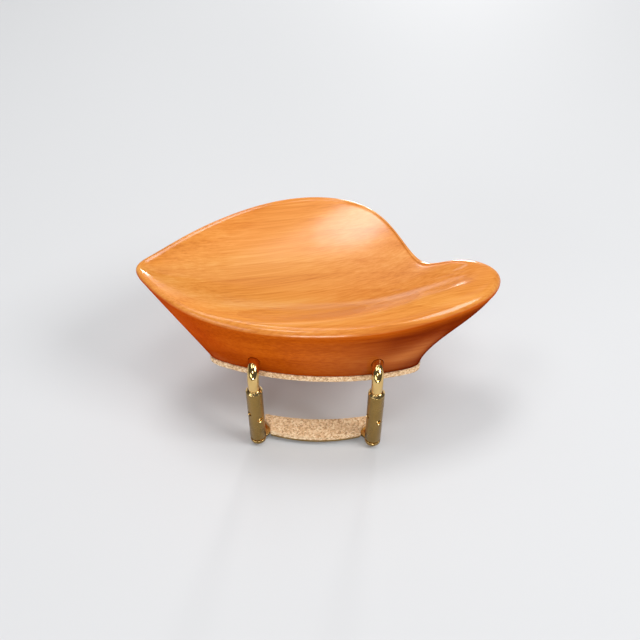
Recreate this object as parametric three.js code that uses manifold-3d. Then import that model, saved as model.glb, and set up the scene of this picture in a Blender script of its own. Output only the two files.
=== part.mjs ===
// Violin chin rest: a carved wooden chin plate with a screw clamp that grips the edge of the instrument.
// Millimetres, +Z up. The origin is the centre of the seat cork's underside, where the rest sits on the
// violin's top. +X runs towards the wing, +Y inwards over the instrument, away from the clamp screws.
import * as THREE from 'three';
import { mergeVertices } from 'three/addons/utils/BufferGeometryUtils.js';
import Module from 'manifold-3d';

const wasm = await Module();
wasm.setup();

// ---- driving dimensions -------------------------------------------------------------------------
const SEAT_CORK = 2.0;             // thickness of the cork under the wooden foot
const FOOT = { x: -0.5, y: 0.2, halfX: 34.7, halfY: 8, squareness: 12, arcX: 2.4, arcRadius: 100 };
const CORK_LIP = 0.4;              // the cork stands this far proud of the wooden foot

// Outermost line of the plate's rim, as control points of a closed cubic B-spline: from the pointed tip along
// the front to the end of the wing, then back past the notch and round the cup. z is the height of that line.
const RIM = [
  [-63, 21, 22.5], [-56, 12.5, 22], [-43.5, 1, 21], [-24, -6.5, 20], [-0.5, -7.5, 19], [22, -5, 19],
  [42, 3, 19], [57.5, 12, 19], [63.5, 23.5, 18.5], [58.5, 31, 18], [49, 34.2, 17.2], [37, 30, 16.2],
  [31.5, 40.5, 17.2], [22, 60, 20], [3.5, 66, 21.5], [-19.5, 60.5, 22.5], [-43.5, 43, 22.5],
  [-56.5, 27, 22.5],
];
// Deepest line of the dish, from the tip to the wing.
const VALLEY = [[-50, 21, 19.4], [-30, 20.6, 14.8], [-5, 18.6, 13], [20, 19.4, 14.2], [41, 23.5, 18.2]];

// Shape of the plate at four places round the rim; the ones in between are blended.
//   k1, k2: the wall's two middle control points, as shares of the way from foot to rim, outwards and upwards
//   under:  size of the rim's curl below its outermost line
//   round:  height of the rim's upper rounding;  wide: its width, as a multiple of that height
//   edge:   how gently that rounding starts: 0.55 for part of a circle, less for a crisp edge
const PLACES = {
  front: { k1: [0.05, 0.33], k2: [0.95, 0.67], under: 0.2, round: 2.2, wide: 1, edge: 0.1 },
  tip: { k1: [0.3, 0.3], k2: [0.7, 0.66], under: 0.8, round: 1.3, wide: 1, edge: 0.55 },
  wing: { k1: [0.04, 0.62], k2: [0.75, 0.5], under: 1.8, round: 2.8, wide: 1.7, edge: 0.55 },
  back: { k1: [0.034, 0.34], k2: [0.81, 0.25], under: 1.0, round: 1.3, wide: 1, edge: 0.55 },
};
const ENDS = [0.35, 0.95];         // the tip and the wing take over from front and back between these shares
const ROUND_TOP = 0.45;            // where the rounding's upper control point lies, as a share of its size
const UNDER_TURN = 50;             // degrees that the rim curls in below its outermost line
// Flat top of the rim, from the outline to the crease where the dish starts. At the wing's end the narrow
// land of the back widens to meet the front's; it is always wider than the rim's rounding by at least past.
const LAND = { atCentre: 5.8, perX: 0.105, least: 2, most: 10.5, back: 1.8, drop: 0.5, past: 0.4 };
const WING_LAND = [0.84, 0.98];    // where along the plate that widening starts and ends
const DISH_REACH = 0.97;           // share of the way from crease to valley where the last ring lies

const POST_SPACING = 40;           // between the two clamp screws
const POST_Y = -10.5;
const ROD = 1.9;                   // radius of the bent hook rod
const THREAD = 1.75;               // radius that stands for the hook's thread
const BEND = 4.6;                  // radius of the hook's bend
const PEG_Z = 6.2;                 // height of the peg that goes into the wood
const PEG_END_Y = 3;
const THREAD_TOP = -1;
const HOOK_END = -20;
const HOOK_CHAMFER = 0.5;
const PEG_GAP = 0.3;

const BARREL = {
  radius: 2.75, bore: 2.05, top: -1.5, bottom: -26.4, chamfer: 0.65, floor: -21.9, keyHole: 0.95,
};
const PIN = { shank: 1.45, head: 2.4, rise: 1.8, fit: 0.05, running: 0.15 };
const PLATE = { top: -26.6, thick: 1.2 };
// Waist that joins a barrel's boss to the strip, measured from the boss's centre.
const EAR = { half: 2.6, inner: [3.4, 1.6], strip: [5.5, 2.2], backIn: 2.8, backRise: 1, outer: [1.6, 4] };
const GRIP_CORK = 1.8;
const GRIP = { halfX: 15.6, flare: 2.2, front: -11.9, frontArc: 0.0095, back: -4.4, backArc: 0.0062 };

const ROUND = { rim: 88, wall: 9, under: 2, over: 4, land: 3, dish: 9, post: 24 };  // facet counts

// ---- materials ----------------------------------------------------------------------------------
const wood = new THREE.MeshStandardMaterial({ color: 0xd9792c, roughness: 0.35, metalness: 0 });
const cork = new THREE.MeshStandardMaterial({ color: 0xc39a6b, roughness: 0.95, metalness: 0 });
const gold = new THREE.MeshStandardMaterial({ color: 0xd8a94a, roughness: 0.22, metalness: 1 });

// ---- curves -------------------------------------------------------------------------------------
const mix = (a, b, t) => a + (b - a) * t;
const mixAll = (a, b, t) => a.map((v, k) => mix(v, b[k], t));
const smooth = (lo, hi, v) => THREE.MathUtils.smoothstep(v, lo, hi);

// Point on a closed uniform cubic B-spline; u runs from 0 to 1 round the whole curve.
function closedSpline(control, u) {
  const n = control.length;
  const place = ((u % 1) + 1) % 1 * n;
  const i = Math.floor(place);
  const t = place - i;
  const weight = [(1 - t) ** 3, 3 * t ** 3 - 6 * t ** 2 + 4, -3 * t ** 3 + 3 * t ** 2 + 3 * t + 1, t ** 3];
  return [0, 1, 2].map((k) => weight.reduce((sum, w, j) => sum + w * control[(i + j - 1 + n) % n][k], 0) / 6);
}

// Point and direction on an open Catmull-Rom curve, which runs straight on past its ends; s runs from 0 to 1.
function openSpline(points, s) {
  const last = points.length - 1;
  const place = Math.min(Math.max(s, 0), 0.99999) * last;
  const i = Math.floor(place);
  const t = place - i;
  const past = (end, next) => points[end].map((v, k) => 2 * v - points[next][k]);
  const run = [past(0, 1), ...points, past(last, last - 1)];
  const axes = [0, 1, 2].map((k) => {
    const [a, b, c, d] = run.slice(i, i + 4).map((p) => p[k]);
    const [bend, twist] = [2 * a - 5 * b + 4 * c - d, 3 * b - a - 3 * c + d];
    const at = 0.5 * (2 * b + (c - a) * t + bend * t * t + twist * t ** 3);
    return { at, heading: 0.5 * (c - a + 2 * bend * t + 3 * twist * t * t) };
  });
  return { point: axes.map((v) => v.at), heading: axes.map((v) => v.heading) };
}

function bezier(a, b, c, d, t) {
  const s = 1 - t;
  return a.map((v, k) => s ** 3 * v + 3 * s * s * t * b[k] + 3 * s * t * t * c[k] + t ** 3 * d[k]);
}

// ---- solids -------------------------------------------------------------------------------------
// Closed skin over a stack of rings with equal counts, each listed counter-clockwise seen from above.
// Each end is closed by a strip that joins the ring's first half to its second half.
function skin(rings) {
  const n = rings[0].length;
  const points = rings.flat();
  const faces = [];
  for (let r = 0; r + 1 < rings.length; r++) {
    for (let i = 0; i < n; i++) {
      const [a, b] = [r * n + i, r * n + (i + 1) % n];
      faces.push([a, b, b + n], [a, b + n, a + n]);
    }
  }
  const last = (rings.length - 1) * n;
  for (let i = 0; i < n / 2; i++) {
    const [a, b, c, d] = [i, i + 1, n - i - 1, (n - i) % n];
    if (b !== c) faces.push([c, b, a], [last + a, last + b, last + c]);
    if (a !== d) faces.push([c, a, d], [last + a, last + c, last + d]);
  }
  const geometry = new THREE.BufferGeometry();
  const kept = faces.filter(([a, b, c]) => a !== b && b !== c && c !== a);
  geometry.setAttribute('position', new THREE.Float32BufferAttribute(points.flat(), 3));
  geometry.setIndex(kept.flat());
  return geometry;
}

function toManifold(geometry) {
  const bare = geometry.clone();
  bare.deleteAttribute('normal');
  bare.deleteAttribute('uv');
  const merged = mergeVertices(bare, 1e-4);
  return new wasm.Manifold(new wasm.Mesh({
    numProp: 3,
    vertProperties: new Float32Array(merged.attributes.position.array),
    triVerts: new Uint32Array(merged.index.array),
  }));
}

function toGeometry(manifold) {
  const mesh = manifold.getMesh();
  const geometry = new THREE.BufferGeometry();
  geometry.setAttribute('position', new THREE.Float32BufferAttribute(mesh.vertProperties, 3));
  geometry.setIndex(new THREE.Uint32BufferAttribute(mesh.triVerts, 1));
  return geometry;
}

const cut = (body, ...tools) =>
  toGeometry(tools.reduce((left, tool) => left.subtract(toManifold(tool)), toManifold(body)));

// Solid of revolution about a vertical axis, from a [radius, z] profile that starts and ends on the axis.
const turned = (profile, sides = ROUND.post) =>
  new THREE.LatheGeometry(profile.map(([r, z]) => new THREE.Vector2(r, z)), sides).rotateX(Math.PI / 2);

// Cylinder between two points.
function rodBetween(from, to, radius, sides) {
  const [a, b] = [new THREE.Vector3(...from), new THREE.Vector3(...to)];
  const along = b.clone().sub(a);
  const geometry = new THREE.CylinderGeometry(radius, radius, along.length(), sides);
  const turn = new THREE.Quaternion().setFromUnitVectors(new THREE.Vector3(0, 1, 0), along.normalize());
  return geometry.applyQuaternion(turn).translate((a.x + b.x) / 2, (a.y + b.y) / 2, (a.z + b.z) / 2);
}

const parts = new THREE.Group();
function add(name, geometry, material) {
  const mesh = new THREE.Mesh(geometry, material);
  mesh.name = name;
  parts.add(mesh);
}

// ---- chin plate ---------------------------------------------------------------------------------
// Even steps along each half of the rim: tip to wing end along the front, and back again round the cup.
function rimStations() {
  const fine = 2000;
  const dense = Array.from({ length: fine }, (_, i) => closedSpline(RIM, i / fine));
  const xs = dense.map((p) => p[0]);
  const tip = xs.indexOf(Math.min(...xs));
  const end = xs.indexOf(Math.max(...xs));
  const half = (from, to) => {
    const count = ((to - from) % fine + fine) % fine;
    const run = [0];
    for (let i = 0; i < count; i++) {
      const [a, b] = [dense[(from + i) % fine], dense[(from + i + 1) % fine]];
      run.push(run[i] + Math.hypot(b[0] - a[0], b[1] - a[1]));
    }
    return Array.from({ length: ROUND.rim / 2 }, (_, j) => {
      const want = run[count] * j / (ROUND.rim / 2);
      return dense[(from + run.findIndex((v) => v >= want)) % fine];
    });
  };
  const [left, right] = [xs[tip], xs[end]];
  const station = (front) => (rim) => ({ rim, front, m: (2 * rim[0] - left - right) / (right - left) });
  return [...half(tip, end).map(station(true)), ...half(end, tip).map(station(false))];
}

// Shape values at a station, blended between the four named places.
function shapeAt({ front, m }) {
  const side = front ? PLACES.front : PLACES.back;
  const end = m < 0 ? PLACES.tip : PLACES.wing;
  const t = smooth(...ENDS, Math.abs(m));
  return {
    k1: mixAll(side.k1, end.k1, t),
    k2: mixAll(side.k2, end.k2, t),
    under: mix(side.under, end.under, t),
    round: mix(side.round, end.round, t),
    across: mix(side.round, end.round, t) * mix(side.wide, end.wide, t),
    edge: mix(side.edge, end.edge, t),
  };
}

// Outline of the foot at a station: a long rounded bar, bent along the edge of the instrument.
function footPoint({ front, m }, grow, z) {
  const across = Math.max(0, 1 - Math.abs(m) ** FOOT.squareness) ** (1 / FOOT.squareness);
  const bulge = front ? -across : across;
  const x = FOOT.x + (FOOT.halfX + grow) * m;
  const arc = (x - FOOT.arcX) ** 2 / (2 * FOOT.arcRadius);
  return [x, FOOT.y + (FOOT.halfY + grow) * bulge + arc, z];
}

// Width of the flat land between the outline and the edge of the dish.
function landWidth({ rim, front, m }) {
  const along = THREE.MathUtils.clamp(LAND.atCentre + LAND.perX * rim[0], LAND.least, LAND.most);
  return front ? along : mix(LAND.back, along, smooth(...WING_LAND, m));
}

// Section of the plate at a station, from the foot up the wall, over the rim and down into the dish.
function platePath(station) {
  const { rim } = station;
  const { k1, k2, under, round, across, edge } = shapeAt(station);
  const { point: valley, heading } = openSpline(VALLEY, (station.m + 1) / 2);
  const reach = Math.hypot(valley[0] - rim[0], valley[1] - rim[1]);
  const inward = [(valley[0] - rim[0]) / reach, (valley[1] - rim[1]) / reach];
  const inset = (d, z) => [rim[0] + inward[0] * d, rim[1] + inward[1] * d, z];

  const foot = footPoint(station, 0, SEAT_CORK);
  const below = (a) => inset(under * (1 - Math.cos(a)), rim[2] + round * Math.sin(a));
  const curl = THREE.MathUtils.degToRad(UNDER_TURN);
  const lip = below(-curl);
  const between = (k) => [mix(foot[0], lip[0], k[0]), mix(foot[1], lip[1], k[0]), mix(foot[2], lip[2], k[1])];
  const path = [];
  for (let i = 0; i < ROUND.wall; i++) path.push(bezier(foot, between(k1), between(k2), lip, i / ROUND.wall));
  for (let i = 0; i < ROUND.under; i++) path.push(below((i / ROUND.under - 1) * curl));
  const top = rim[2] + round;
  const over = [[0, 0], [0, edge], [ROUND_TOP, 1], [1, 1]]
    .map(([d, h]) => inset(across * d, rim[2] + round * h));
  for (let i = 0; i < ROUND.over; i++) path.push(bezier(...over, i / ROUND.over));
  const width = Math.max(landWidth(station), across + LAND.past);
  for (let i = 0; i < ROUND.land; i++) {
    const t = i / ROUND.land;
    path.push(inset(mix(across, width, t), top - LAND.drop * t * t));
  }
  // Parabola down from the crease that meets the valley at the valley's own slope.
  const crease = inset(width, top - LAND.drop);
  const slope = heading[2] / (heading[0] ** 2 + heading[1] ** 2);
  const endRise = slope * (heading[0] * (valley[0] - crease[0]) + heading[1] * (valley[1] - crease[1]));
  const fall = crease[2] - valley[2] + endRise;
  for (let i = 0; i <= ROUND.dish; i++) {
    const left = 1 - DISH_REACH * i / ROUND.dish;
    const [x, y] = mixAll(valley, crease, left);
    path.push([x, y, valley[2] - endRise * left + fall * left * left]);
  }
  return path;
}

function chinPlate() {
  const paths = rimStations().map(platePath);
  const rings = paths[0].map((_, r) => paths.map((path) => path[r]));
  const pegHoles = [-1, 1].map((side) => {
    const x = side * POST_SPACING / 2;
    return rodBetween([x, POST_Y, PEG_Z], [x, PEG_END_Y + PEG_GAP, PEG_Z], ROD + PEG_GAP, ROUND.post);
  });
  return cut(skin(rings), ...pegHoles);
}

add('chin_plate', chinPlate(), wood);

// ---- seat cork ----------------------------------------------------------------------------------
function seatCork() {
  const steps = 28;
  const angles = Array.from({ length: 2 * steps }, (_, i) => i / steps * Math.PI);
  const outline = angles.map((a) => {
    const m = -Math.cos(a);
    return footPoint({ front: a < Math.PI, m }, CORK_LIP, 0);
  });
  return skin([0, SEAT_CORK].map((z) => outline.map(([x, y]) => [x, y, z])));
}

add('seat_cork', seatCork(), cork);

// ---- hooks --------------------------------------------------------------------------------------
// Rod that leaves its hole in the wood level, bends down and carries the clamp's thread.
function hook(x) {
  const bendSteps = 8;
  const spine = [{ y: PEG_END_Y, z: PEG_Z, turn: 0, r: ROD }];
  for (let i = 0; i <= bendSteps; i++) {
    const turn = i / bendSteps * Math.PI / 2;
    const y = POST_Y + BEND * (1 - Math.sin(turn));
    spine.push({ y, z: PEG_Z - BEND * (1 - Math.cos(turn)), turn, r: ROD });
  }
  const down = { y: POST_Y, turn: Math.PI / 2 };
  spine.push({ ...down, z: THREAD_TOP, r: ROD }, { ...down, z: THREAD_TOP - (ROD - THREAD), r: THREAD });
  spine.push({ ...down, z: HOOK_END + HOOK_CHAMFER, r: THREAD });
  spine.push({ ...down, z: HOOK_END, r: THREAD - HOOK_CHAMFER });
  const rings = spine.map(({ y, z, turn, r }) => Array.from({ length: ROUND.post }, (_, j) => {
    const a = j / ROUND.post * 2 * Math.PI;
    const out = r * Math.sin(a);
    return [x + r * Math.cos(a), y + out * Math.sin(turn), z - out * Math.cos(turn)];
  }));
  return skin(rings.reverse());
}

// ---- barrels and the pins that hold them to the lower plate -------------------------------------
function barrel(x, keyHoles) {
  const { radius, bore, top, bottom, chamfer, floor, keyHole } = BARREL;
  const body = turned([
    [0, bottom], [radius - chamfer, bottom], [radius, bottom + chamfer], [radius, top - chamfer],
    [radius - chamfer, top], [0, top],
  ]);
  const hollow = turned([[0, floor], [bore, floor], [bore, top + 1], [0, top + 1]]);
  const pinRadius = PIN.shank + PIN.fit;
  const pinHole = turned([[0, bottom - 1], [pinRadius, bottom - 1], [pinRadius, floor + 1], [0, floor + 1]]);
  const holes = keyHoles.map(({ azimuth, z }) => {
    const a = THREE.MathUtils.degToRad(azimuth);
    const [dx, dy] = [Math.cos(a) * 2 * radius, Math.sin(a) * 2 * radius];
    return rodBetween([-dx, -dy, z], [dx, dy, z], keyHole, 12);
  });
  return toGeometry(toManifold(cut(body, hollow, pinHole, ...holes)).translate([x, POST_Y, 0]));
}

function swivelPin(x) {
  const { shank, head, rise } = PIN;
  const under = PLATE.top - PLATE.thick - PIN.fit;
  const profile = [[0, under - rise]];
  for (let i = 1; i <= 5; i++) {
    const a = i / 5 * Math.PI / 2;
    profile.push([head * Math.sin(a), under - rise * Math.cos(a)]);
  }
  profile.push([shank, under], [shank, BARREL.floor], [0, BARREL.floor]);
  return turned(profile).translate(x, POST_Y, 0);
}

const SIDES = [
  { side: 'left', x: -POST_SPACING / 2, keyHoles: [{ azimuth: -54, z: -15 }, { azimuth: -140, z: -12.4 }] },
  { side: 'right', x: POST_SPACING / 2, keyHoles: [{ azimuth: -59, z: -14.9 }, { azimuth: -159, z: -13.2 }] },
];
for (const { side, x, keyHoles } of SIDES) {
  add(`hook_${side}`, hook(x), gold);
  add(`barrel_${side}`, barrel(x, keyHoles), gold);
  add(`swivel_pin_${side}`, swivelPin(x), gold);
}

// ---- lower clamp plate and its cork -------------------------------------------------------------
// Outline of the grip strip: both long edges bow towards the player, the front one more.
function stripOutline(grow) {
  const steps = 14;
  const half = GRIP.halfX + grow;
  const edge = (y, arc, width) => Array.from({ length: steps + 1 }, (_, i) => {
    const x = (2 * i / steps - 1) * width;
    return new THREE.Vector2(x, y + arc * x * x);
  });
  const front = edge(GRIP.front - grow, GRIP.frontArc, half);
  const back = edge(GRIP.back + grow, GRIP.backArc, half + GRIP.flare);
  return new THREE.Shape([...front, ...back.reverse()]);
}

const slab = (shape, bottom, depth) =>
  new THREE.ExtrudeGeometry(shape, { depth, bevelEnabled: false, curveSegments: 10 }).translate(0, 0, bottom);

// Each ear carries a barrel: a round boss at the screw's axis, joined to the strip by a waist.
function ear(side) {
  const x = side * POST_SPACING / 2;
  const low = PLATE.top - PLATE.thick;
  const boss = rodBetween([x, POST_Y, low], [x, POST_Y, PLATE.top], BARREL.radius, ROUND.post);
  const { half, inner, strip, backIn, backRise, outer } = EAR;
  const web = new THREE.Shape();
  web.moveTo(x - side * half, POST_Y);
  web.quadraticCurveTo(x - side * inner[0], POST_Y + inner[1], x - side * strip[0], POST_Y + strip[1]);
  web.lineTo(x - side * strip[0], GRIP.back);
  web.lineTo(x - side * backIn, GRIP.back + backRise);
  web.quadraticCurveTo(x + side * outer[0], POST_Y + outer[1], x + side * half, POST_Y);
  return [boss, slab(web, low, PLATE.thick)];
}

function footPlate() {
  const bottom = PLATE.top - PLATE.thick;
  const pieces = [slab(stripOutline(0), bottom, PLATE.thick), ...ear(-1), ...ear(1)];
  const joined = pieces.map(toManifold).reduce((a, b) => a.add(b));
  const holes = SIDES.map(({ x }) => rodBetween(
    [x, POST_Y, bottom - 1], [x, POST_Y, PLATE.top + 1], PIN.shank + PIN.running, ROUND.post,
  ));
  return toGeometry(holes.reduce((left, hole) => left.subtract(toManifold(hole)), joined));
}

add('foot_plate', footPlate(), gold);
add('foot_cork', slab(stripOutline(CORK_LIP), PLATE.top, GRIP_CORK), cork);

export default parts;
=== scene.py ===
"""Looks for the violin chin rest: carved and varnished wood, cork sheets and a gold-plated screw clamp.

Lengths at the top are millimetres in the part's own frame: the origin is the centre of the seat cork's
underside, +X runs towards the wing, +Y inwards over the instrument and +Z up. Meshes are made in metres.
"""
import bmesh
import bpy
import math
import numpy as np
from mathutils import Matrix, Vector, noise

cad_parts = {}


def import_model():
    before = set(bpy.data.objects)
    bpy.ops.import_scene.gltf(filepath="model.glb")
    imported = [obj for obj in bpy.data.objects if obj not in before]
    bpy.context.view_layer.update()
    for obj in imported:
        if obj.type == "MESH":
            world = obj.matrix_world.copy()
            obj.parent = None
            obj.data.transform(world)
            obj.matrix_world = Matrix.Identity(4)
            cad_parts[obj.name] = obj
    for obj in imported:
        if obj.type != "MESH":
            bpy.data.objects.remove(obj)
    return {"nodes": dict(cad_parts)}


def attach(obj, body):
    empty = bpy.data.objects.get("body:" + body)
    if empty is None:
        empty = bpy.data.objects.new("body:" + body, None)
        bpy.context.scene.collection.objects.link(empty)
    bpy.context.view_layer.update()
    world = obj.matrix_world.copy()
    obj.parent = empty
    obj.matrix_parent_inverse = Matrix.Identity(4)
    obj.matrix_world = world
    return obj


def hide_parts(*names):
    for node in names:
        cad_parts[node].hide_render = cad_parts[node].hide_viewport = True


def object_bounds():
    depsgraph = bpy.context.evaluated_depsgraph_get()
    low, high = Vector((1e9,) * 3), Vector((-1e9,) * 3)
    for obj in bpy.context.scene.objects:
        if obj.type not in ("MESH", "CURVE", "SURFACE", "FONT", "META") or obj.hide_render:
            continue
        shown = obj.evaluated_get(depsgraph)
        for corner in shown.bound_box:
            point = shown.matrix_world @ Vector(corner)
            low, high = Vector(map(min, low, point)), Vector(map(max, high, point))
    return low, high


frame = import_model()
CAD_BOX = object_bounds()
MM = 0.001

# ---- sizes ---------------------------------------------------------------------------------------
SEAT_CORK = 2.0
FOOT = dict(x=-0.5, y=0.2, half_x=34.7, half_y=8.0, squareness=12, arc_x=2.4, arc_radius=100)
CORK_LIP = 0.4

# Outermost line of the rim, as control points of a closed cubic B-spline: tip, front, wing, notch, cup.
RIM = np.array([
    (-63, 21, 22.5), (-56, 12.5, 22), (-43.5, 1, 21), (-24, -6.5, 20), (-0.5, -7.5, 19), (22, -5, 19),
    (42, 3, 19), (57.5, 12, 19), (63.5, 23.5, 18.5), (58.5, 31, 18), (49, 34.2, 17.2), (37, 30, 16.2),
    (31.5, 40.5, 17.2), (22, 60, 20), (3.5, 66, 21.5), (-19.5, 60.5, 22.5), (-43.5, 43, 22.5),
    (-56.5, 27, 22.5),
])
VALLEY = np.array([(-50, 21, 19.4), (-30, 20.6, 14.8), (-5, 18.6, 13), (20, 19.4, 14.2), (41, 23.5, 18.2)])
PLACES = dict(
    front=dict(k1=(0.05, 0.33), k2=(0.95, 0.67), under=0.2, round=2.2, wide=1.0, edge=0.1),
    tip=dict(k1=(0.3, 0.3), k2=(0.7, 0.66), under=0.8, round=1.3, wide=1.0, edge=0.55),
    wing=dict(k1=(0.04, 0.62), k2=(0.75, 0.5), under=1.8, round=2.8, wide=1.7, edge=0.55),
    back=dict(k1=(0.034, 0.34), k2=(0.81, 0.25), under=1.0, round=1.3, wide=1.0, edge=0.55),
)
ENDS = (0.35, 0.95)                # the tip and the wing take over from front and back between these shares
ROUND_TOP = 0.45                   # where the rounding's upper control point lies, as a share of its width
UNDER_TURN = 50.0                  # degrees that the rim curls in below its outermost line
LAND = dict(at_centre=5.8, per_x=0.105, least=2.0, most=10.5, back=1.8, drop=0.5, past=0.4)
WING_LAND = (0.84, 0.98)           # where the back's narrow land widens to meet the front's
DISH_REACH = 0.99                  # share of the way from crease to valley where the last ring lies
CREASE_FILLET = dict(cup=0.7, wing=4.0)        # how far the softened edge of the dish reaches each way
FOOT_FILLET = 0.35

POST_X, POST_Y = 20.0, -10.5
ROD, THREAD_ROOT, PITCH = 1.9, 1.55, 0.7
BEND, PEG_Z, PEG_END_Y = 4.6, 6.2, 3.0
THREAD_TOP, HOOK_END = -1.0, -20.0
PEG_HOLE = ROD + 0.12
BARREL = dict(radius=2.75, bore=2.05, top=-1.5, bottom=-26.4, chamfer=0.65, floor=-21.9, key_hole=0.95)
PIN = dict(shank=1.45, head=2.4, rise=1.8)
PLATE_TOP, PLATE_THICK, GRIP_CORK = -26.6, 1.2, 1.8
GRIP = dict(half_x=15.6, flare=2.2, front=-11.9, front_arc=0.0095, back=-4.4, back_arc=0.0062)
SIDES = dict(
    left=dict(x=-POST_X, key_holes=((-54, -15.0), (-140, -12.4))),
    right=dict(x=POST_X, key_holes=((-59, -14.9), (-159, -13.2))),
)
AROUND_RIM = 420                   # facets round the rim of the wooden plate
# Facets of the cutters for a key hole and its countersink. With 36 and 44, 40 and 40 or 36 and 36 the cut
# barrels had edges that two faces don't share.
DRILL_SIDES, SINK_SIDES = 37, 41
FLOOR_HALF = 1500

CAMERA = dict(place=(4.68, -161.80, 178.96), down=44.434, yaw=1.213, roll=-0.201, lens=40.5)


# ---- mesh helpers --------------------------------------------------------------------------------
def make_object(name, points_mm, faces, smooth_angle=35):
    mesh = bpy.data.meshes.new(name)
    mesh.from_pydata([tuple(p) for p in np.asarray(points_mm, float) * MM], [], faces)
    mesh.validate()
    obj = bpy.data.objects.new(name, mesh)
    bpy.context.scene.collection.objects.link(obj)
    work = bmesh.new()
    work.from_mesh(mesh)
    bmesh.ops.recalc_face_normals(work, faces=work.faces)
    work.to_mesh(mesh)
    work.free()
    shade(obj, smooth_angle)
    return obj


def shade(obj, angle):
    obj.data.shade_smooth()
    obj.data.set_sharp_from_angle(angle=math.radians(angle))


def ring_faces(rings, count, offset=0):
    """Quads between consecutive rings of the same number of points."""
    r, i = np.meshgrid(np.arange(rings - 1), np.arange(count), indexing="ij")
    a, b = r * count + i, r * count + (i + 1) % count
    return (np.stack([a, b, b + count, a + count], -1).reshape(-1, 4) + offset).tolist()


def apply_modifiers(obj):
    bpy.context.view_layer.update()
    graph = bpy.context.evaluated_depsgraph_get()
    done = bpy.data.meshes.new_from_object(obj.evaluated_get(graph))
    old = obj.data
    obj.modifiers.clear()
    obj.data = done
    bpy.data.meshes.remove(old)


def carve(obj, tools, angle):
    """Cuts the tools out of the object and deletes them."""
    for tool in tools:
        cutter = obj.modifiers.new("cut", "BOOLEAN")
        cutter.operation, cutter.solver, cutter.object = "DIFFERENCE", "EXACT", tool
    apply_modifiers(obj)
    for tool in tools:
        bpy.data.objects.remove(tool)
    shade(obj, angle)


def lathe(name, profile, centre, sides):
    """Solid of revolution about a vertical axis; the profile is a closed list of (radius, z)."""
    rings, points = [], []
    for r, z in profile:
        start = len(points)
        if r < 1e-6:
            points.append((centre[0], centre[1], z))
            rings.append([start] * sides)
        else:
            turn = np.arange(sides) / sides * 2 * np.pi
            ring = (centre[0] + r * np.cos(turn), centre[1] + r * np.sin(turn), np.full(sides, z))
            points.extend(zip(*ring))
            rings.append(list(range(start, start + sides)))
    faces = []
    closed = profile[0][0] > 1e-6
    pairs = list(zip(rings, rings[1:])) + ([(rings[-1], rings[0])] if closed else [])
    for low, high in pairs:
        for i in range(sides):
            j = (i + 1) % sides
            face = list(dict.fromkeys([low[i], low[j], high[j], high[i]]))
            if len(face) > 2:
                faces.append(face)
    return make_object(name, points, faces)


def rod_between(name, a, b, radius_a, radius_b, sides=48):
    """Straight cutter or rod between two points."""
    a, b = Vector(a), Vector(b)
    along = (b - a).normalized()
    side = along.orthogonal().normalized()
    other = along.cross(side)
    points = []
    for end, radius in ((a, radius_a), (b, radius_b)):
        for i in range(sides):
            turn = 2 * math.pi * i / sides
            points.append(end + radius * (math.cos(turn) * side + math.sin(turn) * other))
    faces = ring_faces(2, sides) + [list(range(sides)), list(range(sides, 2 * sides))]
    return make_object(name, [tuple(p) for p in points], faces)


# ---- curves --------------------------------------------------------------------------------------
def closed_spline(control, u):
    place = (np.asarray(u) % 1) * len(control)
    i = np.floor(place).astype(int)
    t = (place - i)[:, None]
    weights = ((1 - t) ** 3, 3 * t ** 3 - 6 * t ** 2 + 4, -3 * t ** 3 + 3 * t ** 2 + 3 * t + 1, t ** 3)
    return sum(w * control[(i + k - 1) % len(control)] for k, w in enumerate(weights)) / 6


def open_spline(points, s):
    """Points and directions on a curve through the given points, straight on past its ends."""
    last = len(points) - 1
    place = np.clip(s, 0, 0.99999) * last
    i = np.floor(place).astype(int)
    t = (place - i)[:, None]
    run = np.vstack([2 * points[0] - points[1], points, 2 * points[-1] - points[-2]])
    a, b, c, d = (run[i + k] for k in range(4))
    bend, twist = 2 * a - 5 * b + 4 * c - d, 3 * b - a - 3 * c + d
    at = 0.5 * (2 * b + (c - a) * t + bend * t * t + twist * t ** 3)
    return at, 0.5 * (c - a + 2 * bend * t + 3 * twist * t * t)


def smooth(lo, hi, v):
    t = np.clip((v - lo) / (hi - lo), 0, 1)
    return t * t * (3 - 2 * t)


def mix(a, b, t):
    return a + (b - a) * t


# ---- chin plate ----------------------------------------------------------------------------------
def rim_stations():
    """Points spaced evenly along each half of the rim, which half each is in, and how far along it is."""
    fine = 12000
    dense = closed_spline(RIM, np.arange(fine) / fine)
    tip, end = int(dense[:, 0].argmin()), int(dense[:, 0].argmax())
    rim, front = [], []
    for start, stop, is_front in ((tip, end, True), (end, tip, False)):
        run = dense[np.arange(start, start + (stop - start) % fine + 1) % fine]
        length = np.concatenate([[0], np.cumsum(np.hypot(*np.diff(run[:, :2], axis=0).T))])
        want = length[-1] * np.arange(AROUND_RIM // 2) / (AROUND_RIM // 2)
        rim.append(np.stack([np.interp(want, length, run[:, k]) for k in range(3)], 1))
        front.append(np.full(AROUND_RIM // 2, is_front))
    rim, front = np.concatenate(rim), np.concatenate(front)
    left, right = dense[tip, 0], dense[end, 0]
    return rim, front, np.clip((2 * rim[:, 0] - left - right) / (right - left), -1, 1)


def foot_outline(m, front, grow):
    across = np.maximum(0, 1 - np.abs(m) ** FOOT["squareness"]) ** (1 / FOOT["squareness"])
    x = FOOT["x"] + (FOOT["half_x"] + grow) * m
    arc = (x - FOOT["arc_x"]) ** 2 / (2 * FOOT["arc_radius"])
    return x, FOOT["y"] + (FOOT["half_y"] + grow) * np.where(front, -across, across) + arc


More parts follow.
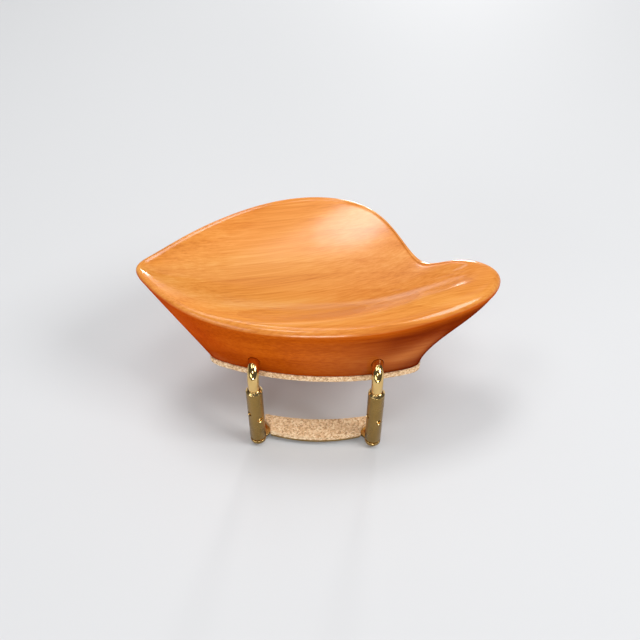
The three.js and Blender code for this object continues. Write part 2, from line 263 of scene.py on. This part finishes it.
def chin_plate():
    rim, front, m = rim_stations()
    toward_end = smooth(*ENDS, np.abs(m))

    def shape(key, part=None):
        pick = lambda place: PLACES[place][key] if part is None else PLACES[place][key][part]
        side = np.where(front, pick("front"), pick("back"))
        return mix(side, np.where(m < 0, pick("tip"), pick("wing")), toward_end)

    under, round_, edge = shape("under"), shape("round"), shape("edge")
    across = round_ * shape("wide")
    valley, heading = open_spline(VALLEY, (m + 1) / 2)
    inward = valley[:, :2] - rim[:, :2]
    inward /= np.linalg.norm(inward, axis=1, keepdims=True)

    def inset(distance, z):
        return np.column_stack([rim[:, :2] + inward * np.broadcast_to(distance, m.shape)[:, None],
                                np.broadcast_to(z, m.shape)])

    foot = np.column_stack([*foot_outline(m, front, 0), np.full(m.shape, SEAT_CORK)])

    def below(a):
        return inset(under * (1 - math.cos(a)), rim[:, 2] + round_ * math.sin(a))

    curl = math.radians(UNDER_TURN)
    lip = below(-curl)
    between = []
    for key in ("k1", "k2"):
        out, up = shape(key, 0)[:, None], shape(key, 1)
        between.append(np.column_stack([mix(foot[:, :2], lip[:, :2], out), mix(foot[:, 2], lip[:, 2], up)]))

    def wall(t):
        s = 1 - t
        return s ** 3 * foot + 3 * s * s * t * between[0] + 3 * s * t * t * between[1] + t ** 3 * lip

    rings = [np.column_stack([*foot_outline(m, front, -FOOT_FILLET), foot[:, 2]])]
    rings += [wall(t) for t in np.linspace(0.02, 1, 30)[:-1]]
    rings += [below(a) for a in np.linspace(-curl, 0, 8)[:-1]]
    for t in np.linspace(0, 1, 17)[:-1]:
        flat, high = 3 * (1 - t) * t * t, 3 * (1 - t) ** 2 * t
        lift = round_ * (edge * high + flat + t ** 3)
        rings.append(inset(across * (ROUND_TOP * flat + t ** 3), rim[:, 2] + lift))

    top = rim[:, 2] + round_
    along = np.clip(LAND["at_centre"] + LAND["per_x"] * rim[:, 0], LAND["least"], LAND["most"])
    width = np.where(front, along, mix(LAND["back"], along, smooth(*WING_LAND, m)))
    width = np.maximum(width, across + LAND["past"])
    crease = inset(width, top - LAND["drop"])

    def land(t):
        return inset(mix(across, width, t), top - LAND["drop"] * t * t)

    rise = heading[:, 2] / (heading[:, :2] ** 2).sum(1)
    end_rise = rise * (heading[:, :2] * (valley[:, :2] - crease[:, :2])).sum(1)

    def dish(t):
        """Parabola down from the crease that meets the valley at the valley's own slope."""
        plan, left = mix(crease[:, :2], valley[:, :2], t[:, None]), 1 - t
        fall = crease[:, 2] - valley[:, 2] + end_rise
        return np.column_stack([plan, valley[:, 2] - end_rise * left + fall * left * left])

    reach = np.linalg.norm(valley[:, :2] - crease[:, :2], axis=1)
    fillet = mix(CREASE_FILLET["cup"], CREASE_FILLET["wing"], smooth(0.85, 1.0, m))
    before = 1 - np.minimum(0.5, fillet / (width - across))
    after = np.minimum(0.4, fillet / reach)
    start, end = land(before), dish(after)
    for t in np.linspace(0, 1, 9)[:-1]:
        rings.append(land(before * t))
    for t in np.linspace(0, 1, 8)[:-1]:
        rings.append((1 - t) ** 2 * start + 2 * t * (1 - t) * crease + t * t * end)
    for t in np.linspace(0, 1, 48) ** 0.9:
        rings.append(dish(mix(after, DISH_REACH, t)))

    count = len(m)
    points = np.concatenate(rings)
    faces = ring_faces(len(rings), count)
    last = (len(rings) - 1) * count
    for i in range(count // 2):
        quad = list(dict.fromkeys([i, i + 1, count - i - 1, (count - i) % count]))
        if len(quad) > 2:
            faces += [quad, [last + k for k in quad]]
    plate = make_object("chin_plate_wood", points, faces, 50)
    holes = [
        rod_between("peg_hole", (x, POST_Y, PEG_Z), (x, PEG_END_Y + 0.3, PEG_Z), PEG_HOLE, PEG_HOLE)
        for x in (-POST_X, POST_X)
    ]
    carve(plate, holes, 50)
    return plate


# ---- cork sheets ---------------------------------------------------------------------------------
def crumb(p_mm):
    """Height of cut cork's crumbs and pits at a point, from about -1 to 1."""
    p = Vector(p_mm)
    near = noise.voronoi(p * 0.9)[0]
    crumbs = 0.6 - 1.4 * near[0]
    hollow = max(0.0, noise.noise(p * 1.1 + Vector((7, 3, 1))) - 0.35)
    return crumbs + 0.55 * noise.noise(p * 2.3) - 0.9 * hollow


def cork_sheet(name, across, x_lo, x_hi, z_lo, z_hi, rough, counts):
    """Slab over the strip y = across(x, s), s from 0 in front to 1 behind, with crumbled faces."""
    nx, ny, nz = counts
    index, points, faces = {}, [], []

    def vertex(i, j, k):
        if (i, j, k) not in index:
            x = mix(x_lo, x_hi, 0.5 - 0.5 * math.cos(math.pi * i / nx))
            points.append((x, across(x, j / ny), mix(z_lo, z_hi, k / nz)))
            index[i, j, k] = len(points) - 1
        return index[i, j, k]

    for i in range(nx):
        for j in range(ny):
            for k in (0, nz):
                faces.append([vertex(i, j, k), vertex(i + 1, j, k),
                              vertex(i + 1, j + 1, k), vertex(i, j + 1, k)])
        for k in range(nz):
            for j in (0, ny):
                faces.append([vertex(i, j, k), vertex(i + 1, j, k),
                              vertex(i + 1, j, k + 1), vertex(i, j, k + 1)])
    for j in range(ny):
        for k in range(nz):
            for i in (0, nx):
                faces.append([vertex(i, j, k), vertex(i, j + 1, k),
                              vertex(i, j + 1, k + 1), vertex(i, j, k + 1)])
    obj = make_object(name, points, faces, 180)
    normals = [v.normal.copy() for v in obj.data.vertices]
    for v, n in zip(obj.data.vertices, normals):
        sunk = min(0.0, crumb(v.co / MM) - 0.45)
        held = 1.0 if rough[0] <= v.co.z / MM <= rough[1] else 0.0
        v.co += n * (0.11 * MM * sunk * held)
    return obj


def seat_cork():
    half = FOOT["half_x"] + CORK_LIP

    def across(x, s):
        m = np.clip((x - FOOT["x"]) / half, -0.99999, 0.99999)
        front = foot_outline(m, True, CORK_LIP)[1]
        back = foot_outline(m, False, CORK_LIP)[1]
        return float(mix(front, back, s))

    x = FOOT["x"]
    return cork_sheet("seat_cork_sheet", across, x - half, x + half, 0, SEAT_CORK, (-1, 1.99), (260, 50, 7))


def grip_edges(x, grow):
    share = 1 + GRIP["flare"] / GRIP["half_x"]
    front = GRIP["front"] - grow + GRIP["front_arc"] * x * x
    back = GRIP["back"] + grow + GRIP["back_arc"] * (x * share) ** 2
    return front, back


def foot_cork():
    half = GRIP["half_x"] + 0.2
    low = PLATE_TOP
    obj = cork_sheet("foot_cork_sheet", lambda x, s: mix(*grip_edges(x, 0.2), s), -half, half,
                     low, low + GRIP_CORK, (low + 0.01, 0), (200, 56, 7))
    middle = (GRIP["front"] + GRIP["back"]) / 2
    for v in obj.data.vertices:
        behind = smooth(middle, GRIP["back"], v.co.y / MM)
        v.co.x *= 1 + GRIP["flare"] / GRIP["half_x"] * float(behind)
    return obj


# ---- clamp ---------------------------------------------------------------------------------------
def hook(side, x):
    """Bent rod with its peg, elbow and a right-handed thread cut on its lower end."""
    sides = 72
    straight = PEG_END_Y - (POST_Y + BEND)
    elbow = BEND * math.pi / 2
    steps = [(0.0, ROD - 0.4), (0.4, ROD)]
    steps += [(s, ROD) for s in np.linspace(1.0, straight, 10)]
    steps += [(straight + s, ROD) for s in np.linspace(0, elbow, 33)[1:]]
    down = straight + elbow
    z_elbow = PEG_Z - BEND
    steps += [(down + s, ROD) for s in np.linspace(0.2, z_elbow - THREAD_TOP, 8)]
    samples = np.arange(THREAD_TOP - 0.05, HOOK_END, -PITCH / 12)
    steps += [(down + z_elbow - z, None) for z in samples]
    steps.append((down + z_elbow - HOOK_END, THREAD_ROOT - 0.4))
    turn = np.arange(sides) / sides * 2 * np.pi
    rings = []
    for s, radius in steps:
        if s <= straight:
            bend, y, z = 0.0, PEG_END_Y - s, PEG_Z
        elif s <= down:
            bend = (s - straight) / BEND
            y, z = POST_Y + BEND * (1 - math.sin(bend)), PEG_Z - BEND * (1 - math.cos(bend))
        else:
            bend, y, z = math.pi / 2, POST_Y, z_elbow - (s - down)
        if radius is None:
            phase = (z / PITCH - turn / (2 * np.pi)) % 1
            ridge = smooth(0.0, 0.42, phase) * (1 - smooth(0.5, 0.92, phase))
            full = min(1.0, (THREAD_TOP - z) / PITCH)
            taper = min(1.0, (z - HOOK_END) / 0.7)
            r = (THREAD_ROOT + (ROD - THREAD_ROOT) * np.maximum(ridge, 1 - full)) - 0.25 * (1 - taper)
        else:
            r = np.full(sides, radius)
        out = r * np.sin(turn)
        ring = (x + r * np.cos(turn), y + out * math.sin(bend), z - out * math.cos(bend))
        rings.append(np.column_stack(ring))
    faces = ring_faces(len(rings), sides)
    last = (len(rings) - 1) * sides
    faces += [list(range(sides)), list(range(last, last + sides))]
    return make_object(f"hook_{side}_rod", np.concatenate(rings), faces, 60)


def rounded(profile, radius, steps=4):
    """The closed profile with each corner cut back to a small arc."""
    out = []
    n = len(profile)
    for i in range(n):
        here = Vector(profile[i])
        if here.x < 1e-6:
            out.append(tuple(here))
            continue
        back, ahead = Vector(profile[i - 1]) - here, Vector(profile[(i + 1) % n]) - here
        cut = min(radius, 0.45 * back.length, 0.45 * ahead.length)
        a, b = here + back.normalized() * cut, here + ahead.normalized() * cut
        for k in range(steps + 1):
            t = k / steps
            out.append(tuple((1 - t) ** 2 * a + 2 * t * (1 - t) * here + t * t * b))
    return out


def barrel(side, x, key_holes):
    """Turned barrel with a chamfered mouth and two cross holes for the key.

    Each hole is cut from inside its own wall, so that the cutters of the two holes never meet in the bore.
    """
    r, bore, top, bottom = (BARREL[k] for k in ("radius", "bore", "top", "bottom"))
    c, floor = BARREL["chamfer"], BARREL["floor"]
    profile = rounded([
        (PIN["shank"] + 0.05, bottom), (r - c, bottom), (r, bottom + c), (r, top - c), (r - c, top),
        (bore + 0.12, top), (bore, top - 0.15), (bore, floor), (PIN["shank"] + 0.05, floor),
    ], 0.09)
    body = lathe(f"barrel_{side}_body", profile, (x, POST_Y), 128)
    tools = []
    hole = BARREL["key_hole"]
    for azimuth, z in key_holes:
        a = math.radians(azimuth)
        way = Vector((math.cos(a), math.sin(a), 0))
        middle = Vector((x, POST_Y, z))
        for sign in (-1, 1):
            mouth, outside = middle + sign * way * (r - 0.28), middle + sign * way * (r + 0.3)
            inside = middle + sign * way * (bore - 0.35)
            clear = middle + sign * way * 2 * r
            tools.append(rod_between("drill", inside, clear, hole, hole, DRILL_SIDES))
            tools.append(rod_between("sink", mouth, outside, hole - 0.05, hole + 0.42, SINK_SIDES))
    carve(body, tools, 30)
    return body


def swivel_pin(side, x):
    under = PLATE_TOP - PLATE_THICK - 0.05
    head = [(PIN["head"] * math.sin(a), under - PIN["rise"] * math.cos(a))
            for a in np.linspace(0, math.pi / 2, 17)]
    shank = [(PIN["head"] - 0.08, under), (PIN["shank"], under),
             (PIN["shank"], BARREL["floor"]), (0, BARREL["floor"])]
    return lathe(f"swivel_pin_{side}_head", head + shank, (x, POST_Y), 96)


def foot_plate():
    """The stamped lower plate, with its sawn edges eased."""
    source = frame["nodes"]["foot_plate"]
    plate = bpy.data.objects.new("foot_plate_stamping", source.data.copy())
    bpy.context.scene.collection.objects.link(plate)
    plate.data.materials.clear()
    work = bmesh.new()
    work.from_mesh(plate.data)
    bmesh.ops.remove_doubles(work, verts=work.verts, dist=1e-6)
    bmesh.ops.dissolve_limit(work, angle_limit=math.radians(1), verts=work.verts, edges=work.edges)
    work.to_mesh(plate.data)
    work.free()
    ease = plate.modifiers.new("ease", "BEVEL")
    ease.width, ease.segments, ease.angle_limit = 0.22 * MM, 3, math.radians(40)
    apply_modifiers(plate)
    shade(plate, 30)
    return plate


# ---- materials -----------------------------------------------------------------------------------
class Nodes:
    """Short way to build a material's node tree."""

    def __init__(self, name):
        self.material = bpy.data.materials.new(name)
        self.material.use_nodes = True
        self.tree = self.material.node_tree
        self.shader = self.tree.nodes["Principled BSDF"]

    def new(self, kind, **values):
        node = self.tree.nodes.new(kind)
        for key, value in values.items():
            setattr(node, key, value)
        return node

    def feed(self, socket, value):
        if isinstance(value, bpy.types.NodeSocket):
            self.tree.links.new(value, socket)
        else:
            socket.default_value = value

    def math(self, operation, a, b=0.0, c=0.0):
        node = self.new("ShaderNodeMath", operation=operation)
        for socket, value in zip(node.inputs, (a, b, c)):
            self.feed(socket, value)
        return node.outputs[0]

    def scaled(self, vector, scale, turn=(0, 0, 0), shift=(0, 0, 0)):
        node = self.new("ShaderNodeMapping")
        self.feed(node.inputs["Vector"], vector)
        node.inputs["Location"].default_value = shift
        node.inputs["Rotation"].default_value = turn
        node.inputs["Scale"].default_value = scale
        return node.outputs[0]

    def noise(self, vector, scale, detail, roughness=0.5):
        node = self.new("ShaderNodeTexNoise")
        self.feed(node.inputs["Vector"], vector)
        for key, value in {"Scale": scale, "Detail": detail, "Roughness": roughness}.items():
            node.inputs[key].default_value = value
        return node.outputs["Fac"]

    def ramp(self, value, *stops):
        node = self.new("ShaderNodeValToRGB")
        self.feed(node.inputs["Fac"], value)
        elements = node.color_ramp.elements
        while len(elements) < len(stops):
            elements.new(0.5)
        for element, (place, colour) in zip(elements, stops):
            element.position = place
            element.color = (*colour, 1)
        return node.outputs["Color"]

    def map_range(self, value, from_lo, from_hi, to_lo, to_hi):
        node = self.new("ShaderNodeMapRange")
        for socket, v in zip(node.inputs, (value, from_lo, from_hi, to_lo, to_hi)):
            self.feed(socket, v)
        return node.outputs[0]

    def blend(self, factor, a, b, mode="MIX"):
        node = self.new("ShaderNodeMix", data_type="RGBA", blend_type=mode)
        self.feed(node.inputs["Factor"], factor)
        self.feed(node.inputs["A"], a)
        self.feed(node.inputs["B"], b)
        return node.outputs["Result"]

    def bump(self, height, distance, strength=1.0, normal=None):
        node = self.new("ShaderNodeBump")
        node.inputs["Strength"].default_value = strength
        node.inputs["Distance"].default_value = distance
        self.feed(node.inputs["Height"], height)
        if normal is not None:
            self.feed(node.inputs["Normal"], normal)
        return node.outputs["Normal"]

    def place_mm(self):
        """Where a point is on the object, in millimetres."""
        coords = self.new("ShaderNodeTexCoord").outputs["Object"]
        return self.scaled(coords, (1 / MM, 1 / MM, 1 / MM))

    def set(self, **values):
        for key, value in values.items():
            self.feed(self.shader.inputs[key.replace("_", " ")], value)


def wood_material():
    """Orange-stained fruitwood: long streaks and growth rings along the plate, under a glossy varnish."""
    n = Nodes("varnished_wood")
    place = n.place_mm()
    leaning = n.scaled(place, (1, 1, 1), turn=(0, math.radians(-3), math.radians(-16)))
    wander = n.noise(n.scaled(leaning, (0.010, 0.04, 0.04)), 1.0, 1.0)
    # growth rings round a line far below the plate, stretched along the grain
    plan = n.new("ShaderNodeSeparateXYZ")
    n.feed(plan.inputs[0], leaning)
    dy = n.math("ADD", plan.outputs["Y"], 34.0)
    dz = n.math("MULTIPLY", n.math("ADD", plan.outputs["Z"], 46.0), 1.25)
    radius = n.math("SQRT", n.math("ADD", n.math("MULTIPLY", dy, dy), n.math("MULTIPLY", dz, dz)))
    radius = n.math("ADD", radius, n.math("MULTIPLY", plan.outputs["X"], 0.06))
    radius = n.math("ADD", radius, n.math("MULTIPLY", wander, 9.0))
    ring = n.math("FRACT", n.math("MULTIPLY", radius, 1 / 5.2))
    ring = n.math("POWER", ring, 2.2)
    fibre = n.noise(n.scaled(leaning, (0.016, 1.7, 1.7)), 1.0, 3.0, 0.6)
    band = n.noise(n.scaled(leaning, (0.008, 0.09, 0.09)), 1.0, 2.0, 0.5)
    pores = n.noise(n.scaled(leaning, (0.30, 7.0, 7.0)), 1.0, 2.0)
    tone = n.math("ADD", n.math("MULTIPLY", band, 0.75), n.math("MULTIPLY", fibre, 0.6))
    tone = n.math("SUBTRACT", tone, n.math("MULTIPLY", ring, 0.09))
    tone = n.map_range(tone, 0.45, 0.89, 0.0, 1.0)
    colour = n.ramp(tone, (0.0, (0.54, 0.172, 0.024)), (0.38, (0.66, 0.240, 0.040)),
                    (0.65, (0.715, 0.287, 0.056)), (1.0, (0.765, 0.352, 0.086)))
    cloud = n.noise(n.scaled(place, (0.012, 0.03, 0.03), shift=(3, 1, 2)), 1.0, 1.0)
    warm = n.map_range(cloud, 0.4, 0.6, 0.0, 0.5)
    colour = n.blend(warm, colour, (0.98, 0.86, 1.0, 1), "MULTIPLY")
    pore_mask = n.map_range(pores, 0.64, 0.78, 0.0, 0.28)
    colour = n.blend(pore_mask, colour, (0.42, 0.11, 0.015, 1))
    # the stain is deeper on the sides and on end grain; the darker sides are also partly painted shade,
    # where the walls get less light
    facing = n.new("ShaderNodeSeparateXYZ")
    n.feed(facing.inputs[0], n.new("ShaderNodeTexCoord").outputs["Normal"])
    side = n.map_range(facing.outputs["Z"], 0.7, 0.0, 0.0, 0.9)
    colour = n.blend(side, colour, (0.78, 0.36, 0.01, 1), "MULTIPLY")
    end_grain = n.map_range(n.math("ABSOLUTE", facing.outputs["X"]), 0.35, 0.9, 0.0, 0.5)
    end_grain = n.math("MULTIPLY", end_grain, n.map_range(facing.outputs["Z"], 0.5, 0.0, 0.0, 1.0))
    colour = n.blend(end_grain, colour, (0.90, 0.40, 0.40, 1), "MULTIPLY")
    # under the rim, painted shade darkens the wall still more where it faces the wing; it is redder where
    # it faces the tip, and painted shade darkens it towards the foot
    where = n.new("ShaderNodeSeparateXYZ")
    n.feed(where.inputs[0], place)
    under_rim = n.math("MULTIPLY", n.map_range(where.outputs["Z"], 19.0, 15.5, 0.0, 1.0), side)
    painted_wing_side_shade = n.math("MULTIPLY", n.map_range(facing.outputs["X"], -0.02, 0.30, 0.0, 1.0), under_rim)
    # painted shade: the wall that faces the wing is darkened in its colour
    colour = n.blend(painted_wing_side_shade, colour, (0.30, 0.14, 0.02, 1), "MULTIPLY")
    tip_side = n.math("MULTIPLY", n.map_range(facing.outputs["X"], -0.1, -0.5, 0.0, 1.0), side)
    colour = n.blend(tip_side, colour, (1.0, 0.72, 0.5, 1), "MULTIPLY")
    # painted shade: the wall is darkened towards the foot, where it meets the cork
    low = n.math("MULTIPLY", n.map_range(where.outputs["Z"], 11.0, 2.5, 0.0, 1.0), side)
    colour = n.blend(low, colour, (0.54, 0.40, 0.24, 1), "MULTIPLY")
    hand = n.noise(place, 0.055, 2.0)
    grain = n.bump(fibre, 0.02 * MM, 0.5)
    surface = n.bump(hand, 0.25 * MM, 0.35, grain)
    varnish = n.bump(hand, 0.25 * MM, 0.25)
    n.set(Base_Color=colour, Roughness=n.map_range(fibre, 0.3, 0.7, 0.30, 0.42), Normal=surface)
    n.set(Coat_Weight=n.map_range(facing.outputs["Z"], 0.0, 0.6, 0.02, 0.8), Coat_Normal=varnish)
    n.set(Coat_Roughness=0.17, Coat_IOR=1.5)
    n.set(Specular_IOR_Level=0.0)
    return n.material


def cork_material():
    """Cut agglomerated cork: packed granules of different browns with dark flecks."""
    n = Nodes("cut_cork")
    place = n.place_mm()
    soft = n.new("ShaderNodeTexNoise")
    n.feed(soft.inputs["Vector"], place)
    soft.inputs["Scale"].default_value = 0.8
    warped = n.new("ShaderNodeVectorMath", operation="MULTIPLY_ADD")
    n.feed(warped.inputs[0], soft.outputs["Color"])
    warped.inputs[1].default_value = (0.9, 0.9, 0.9)
    n.feed(warped.inputs[2], place)
    granules = n.new("ShaderNodeTexVoronoi")
    n.feed(granules.inputs["Vector"], warped.outputs[0])
    granules.inputs["Scale"].default_value = 1.9
    shade_of = n.new("ShaderNodeSeparateColor")
    n.feed(shade_of.inputs[0], granules.outputs["Color"])
    fine = n.noise(place, 3.2, 4.0, 0.65)
    tone = n.math("ADD", n.math("MULTIPLY", shade_of.outputs[0], 0.55), n.math("MULTIPLY", fine, 0.6))
    tone = n.map_range(tone, 0.25, 0.85, 0.0, 1.0)
    colour = n.ramp(tone, (0.0, (0.44, 0.235, 0.11)), (0.4, (0.74, 0.47, 0.255)),
                    (0.7, (0.86, 0.60, 0.355)), (1.0, (0.97, 0.77, 0.52)))
    fleck = n.map_range(n.noise(place, 2.6, 2.0), 0.64, 0.71, 0.0, 0.6)
    colour = n.blend(fleck, colour, (0.15, 0.07, 0.035, 1))
    edge = n.math("SUBTRACT", fine, n.math("MULTIPLY", granules.outputs["Distance"], 0.6))
    n.set(Base_Color=colour, Roughness=0.92, Normal=n.bump(edge, 0.25 * MM, 0.6), Specular_IOR_Level=0.25)
    return n.material


# lighter gold for upward faces: partly a polished finish, partly a painted highlight
UPPER_GOLD_AND_HIGHLIGHT = (0.84, 0.58, 0.24, 1)


def gold_material(name, colour, dark, rough, lines):
    """Gold plate with handling smears; lines above zero adds turning lines round a vertical axis."""
    n = Nodes(name)
    place = n.place_mm()
    smear = n.noise(place, 0.35, 3.0, 0.6)
    patches = n.noise(n.scaled(place, (1, 1, 0.5), shift=(5, 2, 0)), 0.4, 4.0, 0.6)
    worn = n.map_range(patches, 0.4, 0.9, 0.0, 0.8)
    base = n.blend(worn, colour, dark)
    finish = n.map_range(smear, 0.3, 0.75, rough[0], rough[1])
    if lines:
        # the upward-facing ends and chamfers are smoother than the sides, and lighter: partly a polished
        # finish, partly a painted highlight from the light above
        facing = n.new("ShaderNodeSeparateXYZ")
        n.feed(facing.inputs[0], n.new("ShaderNodeTexCoord").outputs["Normal"])
        cut = n.map_range(facing.outputs["Z"], 0.25, 0.55, 0.0, 1.0)
        base = n.blend(cut, base, UPPER_GOLD_AND_HIGHLIGHT)
        finish = n.math("SUBTRACT", finish, n.math("MULTIPLY", cut, 0.14))
    n.set(Base_Color=base, Metallic=1.0, Roughness=finish)
    grooves = n.noise(n.scaled(place, (0.15, 0.15, 14.0)), 1.0, 3.0, 0.6)
    pits = n.noise(place, 9.0, 2.0)
    if lines:
        height = n.math("ADD", n.math("MULTIPLY", grooves, 0.8), n.math("MULTIPLY", pits, 0.2))
        n.set(Normal=n.bump(height, lines * MM, 0.6), Anisotropic=0.35)
    else:
        n.set(Normal=n.bump(smear, 0.02 * MM, 0.4))
    return n.material


def floor_material():
    n = Nodes("pale_floor")
    n.set(Base_Color=(0.62, 0.625, 0.635, 1), Roughness=0.8, Specular_IOR_Level=0.3)
    return n.material


# ---- assembly ------------------------------------------------------------------------------------
def finish_piece(obj, body, material, node):
    obj.data.materials.clear()
    obj.data.materials.append(material)
    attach(obj, body)
    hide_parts(node)


wood = wood_material()
cork = cork_material()
polished = gold_material("polished_gold", (0.78, 0.53, 0.205, 1), (0.66, 0.41, 0.135, 1), (0.06, 0.16), 0)
satin = gold_material("satin_gold", (0.33, 0.205, 0.060, 1), (0.23, 0.14, 0.037, 1), (0.24, 0.38), 0.02)

finish_piece(chin_plate(), "rest", wood, "chin_plate")
finish_piece(seat_cork(), "rest", cork, "seat_cork")
finish_piece(foot_cork(), "clamp_foot", cork, "foot_cork")
finish_piece(foot_plate(), "clamp_foot", satin, "foot_plate")
for side, place in SIDES.items():
    finish_piece(hook(side, place["x"]), "rest", polished, f"hook_{side}")
    finish_piece(barrel(side, **place), f"barrel_{side}", satin, f"barrel_{side}")
    finish_piece(swivel_pin(side, place["x"]), f"barrel_{side}", satin, f"swivel_pin_{side}")


# ---- floor, light and camera ---------------------------------------------------------------------
def floor():
    low = CAD_BOX[0][2] / MM
    half = FLOOR_HALF
    corners = [(-half, -half, low), (half, -half, low), (half, half, low), (-half, half, low)]
    obj = make_object("floor", corners, [[0, 1, 2, 3]])
    obj.data.materials.append(floor_material())


def area_light(name, azimuth, elevation, distance, size, power):
    """Soft box at a direction from the object, in degrees, facing it."""
    light = bpy.data.lights.new(name, "AREA")
    light.shape, light.size, light.size_y = "RECTANGLE", size[0], size[1]
    light.energy = power
    obj = bpy.data.objects.new(name, light)
    a, e = math.radians(azimuth), math.radians(elevation)
    way = Vector((math.cos(a) * math.cos(e), math.sin(a) * math.cos(e), math.sin(e)))
    obj.location = Vector((0, 0.025, 0.015)) + way * distance
    obj.rotation_euler = way.to_track_quat("Z", "Y").to_euler()
    bpy.context.scene.collection.objects.link(obj)


def world():
    sky = bpy.data.worlds.new("studio")
    sky.use_nodes = True
    sky.node_tree.nodes["Background"].inputs["Color"].default_value = (0.93, 0.96, 1.0, 1)
    sky.node_tree.nodes["Background"].inputs["Strength"].default_value = 0.11
    bpy.context.scene.world = sky


def camera():
    down, yaw, roll = (math.radians(CAMERA[k]) for k in ("down", "yaw", "roll"))
    forward = Vector((-math.sin(yaw) * math.cos(down), math.cos(yaw) * math.cos(down), -math.sin(down)))
    right = Vector((math.cos(yaw), math.sin(yaw), 0))
    below = forward.cross(right)
    across = math.cos(roll) * right + math.sin(roll) * below
    up = math.sin(roll) * right - math.cos(roll) * below
    lens = bpy.data.cameras.new("camera")
    lens.lens, lens.sensor_width, lens.clip_start = CAMERA["lens"], 36, 0.01
    obj = bpy.data.objects.new("camera", lens)
    turn = Matrix((across, up, -forward)).transposed().to_4x4()
    obj.matrix_world = Matrix.Translation(Vector(CAMERA["place"]) * MM) @ turn
    bpy.context.scene.collection.objects.link(obj)
    bpy.context.scene.camera = obj


# name, azimuth, elevation, distance (m), size (m), power (W)
LIGHTS = (
    ("overhead_wide", 95, 66, 0.9, (1.30, 0.60), 1.4),
    ("overhead_core", 117, 70, 0.9, (0.34, 0.22), 2.6),
    ("overhead_front", -60, 78, 0.9, (0.34, 0.22), 1.2),
    ("window_back", 104, 15, 1.0, (0.38, 0.40), 1.0),
    ("window_low", 79, 7, 1.1, (0.18, 0.18), 5.6),
    ("right_side", -20, 43, 0.9, (0.36, 0.34), 4.0),
    ("front_left", -165, 62, 1.0, (0.36, 0.24), 1.3),
    ("front_high", -97, 46, 1.1, (0.26, 0.20), 1.5),
    ("front_low", -128, 18, 1.1, (0.70, 0.30), 2.1),
    ("front_glint", -86, 8, 1.1, (0.34, 0.10), 2.8),
)

floor()
for row in LIGHTS:
    area_light(*row)
bpy.context.scene.view_settings.view_transform = "Standard"
world()
camera()
